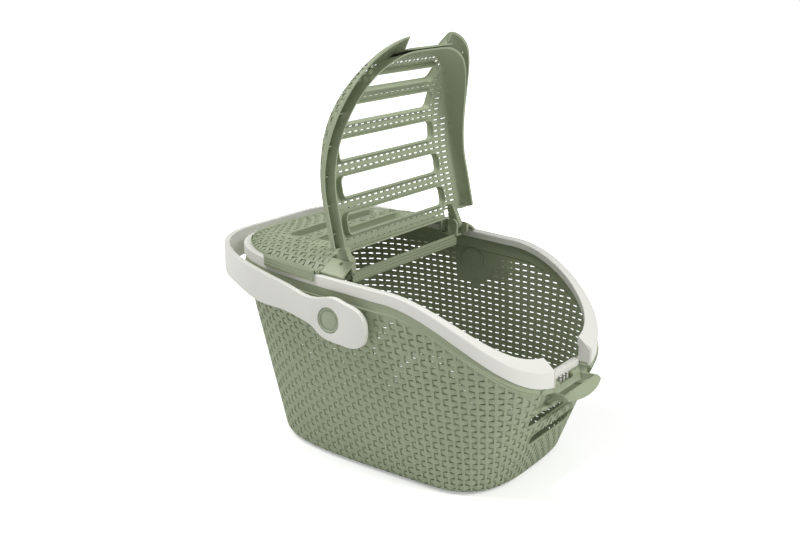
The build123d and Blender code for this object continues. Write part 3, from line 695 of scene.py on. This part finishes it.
def make_pocket():
    rear, back = POCKET_REAR, POCKET_REAR + POCKET_PLATE
    low, high = POCKET_FLOOR, POCKET_FLOOR + POCKET_PLATE
    floor_rows = []
    for y in np.linspace(-POCKET_FLOOR_SIDE, POCKET_FLOOR_SIDE, POCKET_FLOOR_STEPS):
        front = float(wall_x(y, POCKET_FLOOR)) - BEHIND_FLOOR
        floor_rows.append([(rear, y, low), (front, y, low), (front, y, high), (rear, y, high)])
    side_rows = []
    side_rear = POCKET_SIDE_REAR
    inner, outer = POCKET_SIDE
    for z in np.linspace(*POCKET_SIDE_LEVELS, POCKET_SIDE_STEPS):
        front = float(wall_x(inner, z)) - BEHIND_SIDE
        corners = ((side_rear, inner), (front, inner), (front - SIDE_SLANT, outer), (side_rear, outer))
        side_rows.append([(x, y, z) for x, y in corners])
    side = skin(side_rows)
    notch, end = POCKET_ROOF_SIDES
    parts = [skin(floor_rows)]
    for left, right in ((-end, -notch), (notch, end)):
        parts.append(box((rear, left, POCKET_TOP - POCKET_PLATE), (POCKET_ROOF_FRONT, right, POCKET_TOP)))
    end = POCKET_BACK_SIDE
    parts.append(box((rear, -end, POCKET_FLOOR), (back, end, POCKET_BACK_TOP)))
    for left, right in ((-end, -notch), (notch, end)):
        parts.append(box((rear, left, POCKET_POST_BOTTOM), (back, right, POCKET_TOP)))
    parts += [side, mirrored(side)]
    new_object("latch_pocket", join(parts), SAGE, "base")


make_pocket()

# Housing of the latch: two outer blocks, and a stepped block between them
HOUSING_REAR = 236.0
HOUSING_BOTTOM = 136.5
HOUSING_TOP = 151.0
HOUSING_FRONT = 245.2
HOUSING_LEAN = 2.6
HOUSING_SIDES = (19.0, 40.0)
HOUSING_MIDDLE = 19.5
HOUSING_STEP = 142.5
HOUSING_STEP_TOP = 146.0
HOUSING_STEP_REAR = 241.8
HOUSING_LAP = 0.5


def housing_block(sides, bottom=HOUSING_BOTTOM, top=HOUSING_TOP, rear=HOUSING_REAR):
    """Block with a front that leans back towards its top."""
    low, high = (
        HOUSING_FRONT - HOUSING_LEAN * (z - HOUSING_BOTTOM) / (HOUSING_TOP - HOUSING_BOTTOM)
        for z in (bottom, top)
    )
    return skin([[(rear, y, bottom), (low, y, bottom), (high, y, top), (rear, y, top)] for y in sides])


def make_housing():
    inner, outer = HOUSING_SIDES
    middle = (-HOUSING_MIDDLE, HOUSING_MIDDLE)
    housing = join([
        housing_block((-outer, -inner)),
        housing_block((inner, outer)),
        housing_block(middle, HOUSING_BOTTOM, HOUSING_STEP),
        housing_block(middle, HOUSING_STEP - HOUSING_LAP, HOUSING_STEP_TOP, HOUSING_STEP_REAR),
    ])
    bevelled(new_object("latch_housing", housing, SAGE, "base"), 0.5)


make_housing()

# Bosses behind the handle's paddles
BOSS_RADIUS = 20.0
BOSS_ENDS = (167.5, 184.2)
BOSS_SIDES = 48


def make_bosses():
    angles = [2 * math.pi * k / BOSS_SIDES for k in range(BOSS_SIDES)]
    circle = [(PIVOT[0] + BOSS_RADIUS * math.cos(a), PIVOT[1] + BOSS_RADIUS * math.sin(a)) for a in angles]
    boss = skin([[(x, -y, z) for x, z in circle] for y in BOSS_ENDS])
    new_object("pivot_bosses", join([boss, mirrored(boss)]), SAGE, "base")


make_bosses()

# Raised frames of the vents: proud of the wall at the crest, and sunk behind it at both edges
FRAME_WIDTH = 1.9
FRAME_STEPS = 5
FRAME_PROUD = 1.0
FRAME_INNER_EDGE = 0.7
FRAME_OUTER_EDGE = 0.6
FRAME_SUNK = 2.6
FRAME_ROUND_Y = 0.003
FRAME_ROUND_Z = 0.03


def make_vent_frames():
    frames = []
    for level, half in VENTS:
        sizes = ((half + grow, VENT_HALF + grow, VENT_RADIUS + grow) for grow in (0, FRAME_WIDTH))
        inner, outer = (rounded_rect(*size, FRAME_STEPS, (0, level)) for size in sizes)
        rows = []
        for (yi, zi), (yo, zo) in zip(inner, outer):
            xi, xo = float(wall_x(yi, zi)), float(wall_x(yo, zo))
            rows.append([
                (xi - FRAME_SUNK, yi, zi),
                (xi + FRAME_INNER_EDGE, yi, zi),
                (xi + FRAME_PROUD, yi * (1 + FRAME_ROUND_Y), zi + (zi - level) * FRAME_ROUND_Z),
                (xo + FRAME_PROUD, yo * (1 - FRAME_ROUND_Y), zo - (zo - level) * FRAME_ROUND_Z),
                (xo + FRAME_OUTER_EDGE, yo, zo),
                (xo - FRAME_SUNK, yo, zo),
            ])
        frames.append(skin(rows, closed=True))
    new_object("vent_frames", join(frames), SAGE, "base")


make_vent_frames()

# Crest of the lid and the door along the middle, as (x, z)
CREST = (
    (-245.3, 300.8), (-205, 307.5), (-140, 313), (-60, 313), (20, 309.5), (87, 305), (137, 298.5),
    (170, 284.5), (199, 260.5), (250.0, float(rim_z(250.0)) + 6),
)
crest_x, crest_y = np.array(CREST).T


def spline_slopes(x, y):
    """Slopes of a smooth curve through points, by the usual tridiagonal system."""
    n = len(x)
    h = np.diff(x)
    d = np.diff(y) / h
    m = np.zeros((n, n))
    r = np.zeros(n)
    m[0, 0], m[0, 1], r[0] = 2, 1, 3 * d[0]
    m[-1, -1], m[-1, -2], r[-1] = 2, 1, 3 * d[-1]
    for k in range(1, n - 1):
        m[k, k - 1], m[k, k], m[k, k + 1] = h[k], 2 * (h[k - 1] + h[k]), h[k - 1]
        r[k] = 3 * (h[k] * d[k - 1] + h[k - 1] * d[k])
    return np.linalg.solve(m, r)


crest_slope = spline_slopes(crest_x, crest_y)


def crest_z(x):
    """Level of the crest, by a smooth curve through its points."""
    x = np.clip(x, crest_x[0], crest_x[-1])
    k = np.clip(np.searchsorted(crest_x, x) - 1, 0, len(crest_x) - 2)
    h = crest_x[k + 1] - crest_x[k]
    t = (x - crest_x[k]) / h
    a, b, c, d = 2 * t**3 - 3 * t**2 + 1, t**3 - 2 * t**2 + t, 3 * t**2 - 2 * t**3, t**3 - t**2
    return a * crest_y[k] + b * h * crest_slope[k] + c * crest_y[k + 1] + d * h * crest_slope[k + 1]


class Dome:
    """Outer skin of the lid or the door, run along its length and round its section."""

    def __init__(self, inset, foot, power):
        self.inset, self.foot, self.power = inset, foot, power
        crown = np.linspace(0, 0.7, 15)[:-1]
        shoulder = 0.7 + 0.3 * np.sin(np.linspace(0, math.pi / 2, 60))
        self.u = np.concatenate([crown, shoulder])

    def section(self, x):
        """Half section at a place: sides, levels and the run along them from the middle."""
        width = float(plan_width(RIM, x, self.inset))
        edge = float(rim_z(x)) + self.foot
        rise = float(crest_z(x)) - edge
        y = np.append(self.u * width, width)
        z = np.append(edge + rise * (1 - self.u**self.power), float(rim_z(x)) + 0.4)
        s = np.concatenate([[0], np.cumsum(np.hypot(np.diff(y), np.diff(z)))])
        return y, z, s

    def half_run(self, x):
        """Length of the half section."""
        return self.section(x)[2][-1]

    def point(self, x, s):
        """Point of the skin at a run from the middle, signed by its side."""
        y, z, run = self.section(x)
        side = math.copysign(1, s)
        return np.array([x, side * np.interp(abs(s), run, y), np.interp(abs(s), run, z)])

    def frame(self, x, share):
        """Place and axes (along, across and out) at a share of the half section."""
        s = share * self.half_run(x)
        p = self.point(x, s)
        across = self.point(x, s + 0.5) - self.point(x, s - 0.5)
        front = self.point(x + 0.5, share * self.half_run(x + 0.5))
        rear = self.point(x - 0.5, share * self.half_run(x - 0.5))
        across /= np.linalg.norm(across)
        out = np.cross(front - rear, across)
        out /= np.linalg.norm(out)
        return p, np.cross(across, out), across, out


def brick(place, low, high):
    """Box in a place's own axes; its bottom has a level on each side across."""
    p, along, across, out = place
    verts = []
    for k in range(8):
        i, j, m = k in (1, 2, 5, 6), k in (2, 3, 6, 7), k > 3
        a = (high if i else low)[0]
        b = (high if j else low)[1]
        c = high[2] if m else low[2][j]
        verts.append(tuple(p + along * a + across * b + out * c))
    return verts, BOX_FACES


def node_copy(node, name, material, body):
    """A piece with a copy of a node's mesh, welded, to be carved or rounded."""
    me = nodes[node].data.copy()
    bm = bmesh.new()
    bm.from_mesh(me)
    bmesh.ops.remove_doubles(bm, verts=bm.verts, dist=1e-6)
    bm.to_mesh(me)
    bm.free()
    me.materials.clear()
    me.materials.append(material)
    ob = link(name, me)
    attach(ob, body)
    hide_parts(node)
    return ob


def carve(ob, part, turn):
    """Take closed bricks out of a piece."""
    me = new_mesh("cutter", *part)
    face_outwards(me)
    me.transform(turn)
    cutter = link("cutter", me)
    m = ob.modifiers.new("carve", "BOOLEAN")
    m.operation = "DIFFERENCE"
    m.solver = "MANIFOLD"
    m.object = cutter
    before = len(ob.data.polygons)
    apply_modifiers(ob)
    bpy.data.objects.remove(cutter)
    print("carved", ob.name, before, "->", len(ob.data.polygons))


# Weave of the lid and the door: slots, and ramps where each strand dips under one rib
OPENING_PITCH = 50.8
DOME_ROW = OPENING_PITCH / 6
DOME_COLUMNS = 26
DOME_EDGE = 2.5
DOME_LEAST_PITCH = 8
BRICK_SHARE = 0.33
BRICK_OUT = 2.0
RAMP_GAP = 0.15
RAMP_LIP = 0.03


def carve_weave(ob, dome, stations, slot_ok, ramp_ok, slot_half, ramp, deep, turn):
    """Carve slots on the stations and, between them, ramps that slope one way and then the other."""
    slots, ramps = [], []
    for r, (x, x_next) in enumerate(zip(stations[:-1], stations[1:])):
        half = dome.half_run(x) - DOME_EDGE
        pitch = 2 * half / DOME_COLUMNS
        if pitch < DOME_LEAST_PITCH:
            continue
        for c in range(DOME_COLUMNS):
            s = (c - (DOME_COLUMNS - 1) / 2) * pitch
            share = s / (half + DOME_EDGE)
            length = pitch * BRICK_SHARE
            if slot_ok(x, s):
                low, high = (-slot_half, -length, (deep, deep)), (slot_half, length, BRICK_OUT)
                slots.append(brick(dome.frame(x, share), low, high))
            middle = (x + x_next) / 2
            if ramp_ok(middle, s):
                bottom = (-ramp, RAMP_LIP) if (c + r) % 2 else (RAMP_LIP, -ramp)
                wide = abs(x - x_next) / 2 - RAMP_GAP
                low, high = (-wide, -length, bottom), (wide, length, BRICK_OUT)
                ramps.append(brick(dome.frame(middle, share), low, high))
    carve(ob, join(ramps), turn)
    carve(ob, join(slots), turn)
    shade(ob.data, 30)


# Rear lid, with two plain recesses
LID_FIRST_ROW = -47.0
LID_ROWS = 24
RECESS_XS = (-95.0, -148.0)
RECESS_HALF = 13.5
RECESS_HALF_WIDTH = 104.0
SLOT_CLEAR = 4.5
RAMP_CLEAR = 6.5


def lid_free(margin):
    """Test of whether a place on the lid is clear of the recesses."""

    def free(x, s):
        inside = [abs(x - middle) < RECESS_HALF + margin for middle in RECESS_XS]
        return not (any(inside) and abs(s) < RECESS_HALF_WIDTH + margin)

    return free


carve_weave(
    node_copy("rear_lid", "lid_shell", SAGE, "base"),
    Dome(inset=9.0, foot=3.0, power=6),
    [LID_FIRST_ROW - DOME_ROW * k for k in range(LID_ROWS)],
    lid_free(SLOT_CLEAR), lid_free(RAMP_CLEAR),
    slot_half=0.75, ramp=1.2, deep=-5.0, turn=Matrix.Identity(4),
)

# Door: its weave is laid out as if it were closed and then turned open with it. The openings and
# the rows of the weave are set out by their travel along the crest.
OPENINGS = 5
OPENING_START = 9.0
OPENING_LENGTH = 28.0
OPENING_SIDE = 57.0
OPENINGS_END = OPENING_START + OPENINGS * OPENING_PITCH
DOOR_FIRST_ROW = OPENING_START - 11.4 - DOME_ROW / 2
DOOR_ROWS = 32
DOOR_END = 258.0
SLOTS_END = 222.0
RAMPS_END = 226.0
LIP_INSET = 3.0
LIP_CLEAR = 4.0
OPENING_CORNER = 6.0
SLOT_BESIDE = 3.0
SLOT_AT_CORNER = 5.0
RAMP_BESIDE = 4.5

door_xs = np.arange(-20, 250, 0.25)
travel = np.concatenate([[0], np.cumsum(np.hypot(np.diff(door_xs), np.diff(crest_z(door_xs))))])
travel = travel - np.interp(OPENING_START, door_xs, travel) + OPENING_START
open_turn = (
    Matrix.Translation(Vector((HINGE[0], 0, HINGE[1])) * MM)
    @ Matrix.Rotation(-OPEN, 4, "Y")
    @ Matrix.Translation(-Vector((HINGE[0], 0, HINGE[1])) * MM)
)


def station(t):
    """Place of a travel along the crest."""
    return float(np.interp(t, travel, door_xs))


def opening_half(x):
    """Half width of the door's openings at a place."""
    return float(plan_width(RIM, x)) - OPENING_SIDE


def in_opening(x, s, margin):
    """Whether a place on the door is in an opening, or within a margin of one."""
    t = float(np.interp(x, door_xs, travel))
    k = (t - OPENING_START) % OPENING_PITCH
    along = k < OPENING_LENGTH + margin or k > OPENING_PITCH - margin
    return 0 < t < OPENINGS_END and along and abs(s) < opening_half(x) + margin


def door_slot(x, s):
    lip = float(plan_width(RIM_INNER, x, LIP_INSET)) - LIP_CLEAR
    if x > SLOTS_END or abs(s) > lip:
        return False
    beside = abs(s) < opening_half(x) - OPENING_CORNER
    return not in_opening(x, s, SLOT_BESIDE if beside else SLOT_AT_CORNER)


def door_ramp(x, s):
    return x < RAMPS_END and not in_opening(x, s, RAMP_BESIDE)


door_rows = [DOOR_FIRST_ROW + DOME_ROW * k for k in range(DOOR_ROWS)]
carve_weave(
    node_copy("door", "door_shell", SAGE, "door"),
    Dome(inset=3.0, foot=6.0, power=9),
    [station(t) for t in door_rows if t < DOOR_END],
    door_slot, door_ramp,
    slot_half=0.9, ramp=1.4, deep=-3.6, turn=open_turn,
)

# Flanges round the openings, on the inside of the door: shallow between the ends, deep at them
FLANGE_SHALLOW = 0.9
FLANGE_MORE = 9.0
FLANGE_END = 16.0
FLANGE_RISE = 12.0
FLANGE_WIDTH = 1.85
FLANGE_CLEAR = 0.05
FLANGE_TOP = -1.2
FLANGE_FACE = -2.0
FLANGE_RADII = (8.0, 9.8)
FLANGE_STEPS = 6


def make_flanges():
    flanges = []
    for k in range(OPENINGS):
        x = station(OPENING_START + OPENING_LENGTH / 2 + OPENING_PITCH * k)
        slope = (float(crest_z(x + 1)) - float(crest_z(x - 1))) / 2
        along = np.array([1.0, 0.0, slope]) / math.hypot(1, slope)
        out = np.array([-along[2], 0.0, along[0]])
        across = np.array([0.0, 1.0, 0.0])
        origin = np.array([x, 0.0, float(crest_z(x))])
        long, half = OPENING_LENGTH / 2 + FLANGE_CLEAR, opening_half(x)
        wide = half + FLANGE_CLEAR
        inner = rounded_rect(long, wide, FLANGE_RADII[0], FLANGE_STEPS)
        outer = rounded_rect(long + FLANGE_WIDTH, wide + FLANGE_WIDTH, FLANGE_RADII[1], FLANGE_STEPS)
        rows = []
        for (i0, j0), (i1, j1) in zip(inner, outer):
            deep = min(max((abs(j1) - half + FLANGE_END) / FLANGE_RISE, 0), 1)
            low = FLANGE_FACE - (FLANGE_SHALLOW + FLANGE_MORE * deep)
            corners = ((i0, j0, FLANGE_TOP), (i1, j1, FLANGE_TOP), (i1, j1, low), (i0, j0, low))
            rows.append([tuple(origin + along * i + across * j + out * c) for i, j, c in corners])
        flanges.append(skin(rows, closed=True))
    ob = new_object("door_flanges", join(flanges), SAGE, "door")
    ob.data.transform(open_turn)


make_flanges()

# Handle, rounded along its edges
handle = node_copy("handle", "handle_bow", WHITE, "handle")
bevelled(handle, 2.2, segments=3, angle=50, sharp=40)

# Pivot caps: a ring, a groove and a disc, as (radius, side) from the middle out and back
CAP_PROFILE = (
    (0.0, 190.9), (11.6, 191.0), (12.7, 190.6), (13.2, 189.6), (14.2, 189.6), (14.7, 191.0),
    (15.6, 191.7), (16.9, 191.6), (17.8, 190.6), (17.8, 185.7), (0.0, 185.7),
)
CAP_SIDES = 64


def turned_cap(side):
    """Cap turned round the pivot's axis, on one side of the tub."""
    verts, faces = [], []
    angles = [2 * math.pi * j / CAP_SIDES for j in range(CAP_SIDES)]
    for r, y in CAP_PROFILE[1:-1]:
        verts += [(PIVOT[0] + r * math.cos(a), side * y, PIVOT[1] + r * math.sin(a)) for a in angles]
    rings = [list(range(i, i + CAP_SIDES)) for i in range(0, len(verts), CAP_SIDES)]
    for ring, ring_next in zip(rings[:-1], rings[1:]):
        for j in range(CAP_SIDES):
            n = (j + 1) % CAP_SIDES
            faces.append((ring[j], ring[n], ring_next[n], ring_next[j]))
    for ring, y in ((rings[0], CAP_PROFILE[0][1]), (rings[-1], CAP_PROFILE[-1][1])):
        verts.append((PIVOT[0], side * y, PIVOT[1]))
        faces += [(len(verts) - 1, ring[j], ring[(j + 1) % CAP_SIDES]) for j in range(CAP_SIDES)]
    return verts, faces


for name, side in (("left", 1), ("right", -1)):
    cap = new_object("cap_" + name, turned_cap(side), CAP, "base")
    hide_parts("pivot_cap_" + name)

# Lengthwise ribs on the side clips: their drops below the rim line, and a rib's section as (out, up)
RIB_DROPS = (-3.3, 0.9, 5.1)
RIB_SECTION = ((-0.6, 1.9), (0.35, 1.75), (0.6, 1.3), (0.6, -1.3), (0.35, -1.75), (-0.6, -1.9))
RIB_SPAN = (-147.0, -52.0)
RIB_STEPS = 40
RIB_OUT = 2.7


def make_clip_ribs():
    ribs = []
    for drop in RIB_DROPS:
        rows = []
        for x in np.linspace(*RIB_SPAN, RIB_STEPS):
            y, z = float(plan_width(RIM, x, -RIB_OUT)), float(rim_z(x)) - drop
            rows.append([(x, y + a, z + b) for a, b in RIB_SECTION])
        ribs.append(skin(rows))
    ribs = join(ribs)
    for side, part in (("left", ribs), ("right", mirrored(ribs))):
        new_object("clip_ribs_" + side, part, SAGE, "clip_" + side)


make_clip_ribs()

# Nodes that show as they are
looks = {
    "latch_flap": SAGE, "hinge_pin_left": SAGE, "hinge_pin_right": SAGE,
    "pivot_stud_left": WHITE, "pivot_stud_right": WHITE,
    "latch_pin_left": SAGE, "latch_pin_right": SAGE, "side_clip_left": SAGE, "side_clip_right": SAGE,
}
for name, material in looks.items():
    me = nodes[name].data
    me.materials.clear()
    me.materials.append(material)

# Floor: it turns to plain white for the camera away from the object, and keeps the shadow near it
FLOOR_HALF = 8
FLOOR_COLOUR = (0.86, 0.86, 0.86, 1)
PURE_WHITE = (1, 1, 1, 1)
GLOW_RANGE = [("From Min", 0.45), ("From Max", 1.3), ("To Min", 0.34), ("To Max", 1.0)]


def make_floor():
    corners = [(-1, -1), (1, -1), (1, 1), (-1, 1)]
    me = bpy.data.meshes.new("floor")
    me.from_pydata([(x * FLOOR_HALF, y * FLOOR_HALF, 0) for x, y in corners], [], [(0, 1, 2, 3)])
    mat = bpy.data.materials.new("floor_look")
    tree = empty_tree(mat)
    out = add_node(tree, "ShaderNodeOutputMaterial")
    matt = add_node(tree, "ShaderNodeBsdfDiffuse", [("Color", FLOOR_COLOUR)])
    glow = add_node(tree, "ShaderNodeEmission", [("Color", PURE_WHITE)])
    path = add_node(tree, "ShaderNodeLightPath")
    strength = add_node(tree, "ShaderNodeMath")
    strength.operation = "MULTIPLY"
    place = add_node(tree, "ShaderNodeNewGeometry")
    reach = add_node(tree, "ShaderNodeVectorMath")
    reach.operation = "LENGTH"
    away = add_node(tree, "ShaderNodeMapRange", GLOW_RANGE)
    both = add_node(tree, "ShaderNodeAddShader")
    connect(tree, [
        (place, "Position", reach, 0),
        (reach, "Value", away, "Value"),
        (path, "Is Camera Ray", strength, 0),
        (away, "Result", strength, 1),
        (strength, "Value", glow, "Strength"),
        (matt, "BSDF", both, 0),
        (glow, "Emission", both, 1),
        (both, "Shader", out, "Surface"),
    ])
    me.materials.append(mat)
    return link("floor", me)


floor = make_floor()

# Light and camera
SOFT_LIGHT = 0.42
LIGHT_AIM = (0, 0, 0.2)


def make_world():
    """Soft light all round; the camera sees it as plain white."""
    world = bpy.data.worlds.new("studio")
    bpy.context.scene.world = world
    tree = empty_tree(world)
    out = add_node(tree, "ShaderNodeOutputWorld")
    soft = add_node(tree, "ShaderNodeBackground", [("Color", PURE_WHITE), ("Strength", SOFT_LIGHT)])
    seen = add_node(tree, "ShaderNodeBackground", [("Color", PURE_WHITE), ("Strength", 1.0)])
    path = add_node(tree, "ShaderNodeLightPath")
    pick = add_node(tree, "ShaderNodeMixShader")
    connect(tree, [
        (path, "Is Camera Ray", pick, "Fac"),
        (soft, "Background", pick, 1),
        (seen, "Background", pick, 2),
        (pick, "Shader", out, "Surface"),
    ])


def area(name, place, size, power):
    light = bpy.data.lights.new(name, "AREA")
    light.shape = "DISK"
    light.size = size
    light.energy = power
    ob = link(name, light)
    ob.location = place
    ob.rotation_euler = (Vector(LIGHT_AIM) - Vector(place)).to_track_quat("-Z", "Y").to_euler()


make_world()
area("key", (-1.2, -0.9, 2.6), 1.3, 52)
area("side", (2.2, 0.3, 2.0), 1.2, 44)

# The camera's focal length is in pixels of a picture 800 pixels wide
FOCAL_PIXELS = 1103.088
PICTURE_PIXELS = 800
SENSOR = 36.0
CAMERA_TURN = math.radians(35.643)
CAMERA_RISE = math.radians(16.093)
CAMERA_REACH = 1.617
CAMERA_AIM = Vector((-0.034255, 0, 0.259428))
FAR_CLIP = 50


def make_camera():
    data = bpy.data.cameras.new("camera")
    data.sensor_width = SENSOR
    data.lens = FOCAL_PIXELS * SENSOR / PICTURE_PIXELS
    data.clip_end = FAR_CLIP
    camera = link("camera", data)
    bpy.context.scene.camera = camera
    level = math.cos(CAMERA_RISE)
    back = Vector((math.sin(CAMERA_TURN) * level, -math.cos(CAMERA_TURN) * level, math.sin(CAMERA_RISE)))
    camera.location = CAMERA_AIM + back * CAMERA_REACH
    camera.rotation_euler = back.to_track_quat("Z", "Y").to_euler()


make_camera()
bpy.context.scene.view_settings.view_transform = "Standard"
